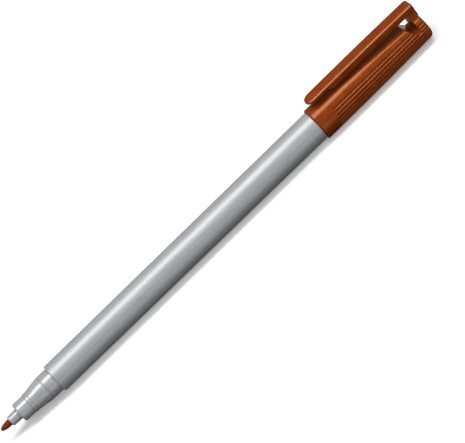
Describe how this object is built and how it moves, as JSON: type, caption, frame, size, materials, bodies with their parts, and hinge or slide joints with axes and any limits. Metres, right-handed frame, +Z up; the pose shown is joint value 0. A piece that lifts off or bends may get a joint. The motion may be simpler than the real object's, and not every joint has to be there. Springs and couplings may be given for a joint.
{
  "type": "overhead projector marker",
  "caption": "Fibre-tip marker pen for overhead film, with a grey barrel, a stepped nose and a ribbed brown clip cap posted on its back end.",
  "frame": {"origin": "on the surface that the marker lies on, under the middle of its length", "axes": "+X along the pen from the nib to the cap's end, +Z up through the clip, the XZ plane is the plane of symmetry"},
  "size_m": [0.1526, 0.0096, 0.0126],
  "materials": {
    "barrel_grey": "satin metallic grey polypropylene",
    "nose_grey": "glossier metallic grey polypropylene",
    "cap_brown": "satin-gloss red-brown polypropylene",
    "seal_brown": "soft moulded red-brown polyethylene",
    "nib_fibre": "bonded acrylic fibre soaked in orange-brown ink",
    "wick_fibre": "bonded polyester fibre soaked in brown ink",
    "film": "thin clear film"
  },
  "bodies": {
    "pen": {"nib": "nib_fibre", "nib_holder": "nose_grey", "nose_section": "nose_grey", "barrel": "barrel_grey", "ink_reservoir": "wick_fibre", "reservoir_film": "film", "end_plug": "cap_brown"},
    "cap_liner": {"inner_cap": "seal_brown"},
    "cap": {"cap_shell": "cap_brown"},
    "clip": {"cap_clip": "cap_brown"}
  },
  "joints": [
    {"name": "cap_slide", "type": "slide", "parent": "pen", "child": "cap_liner", "axis": [1, 0, 0], "range_m": [0, 0.012]},
    {"name": "cap_twist", "type": "hinge", "parent": "cap_liner", "child": "cap", "pos_m": [0.0567, 0, 0.00484], "axis": [1, 0, 0], "continuous": true},
    {"name": "clip_flex", "type": "hinge", "parent": "cap", "child": "clip", "pos_m": [0.07338, 0, 0.01154], "axis": [0, 1, 0], "range_deg": [0, 4], "stiffness_Nm_per_rad": 1.5}
  ]
}
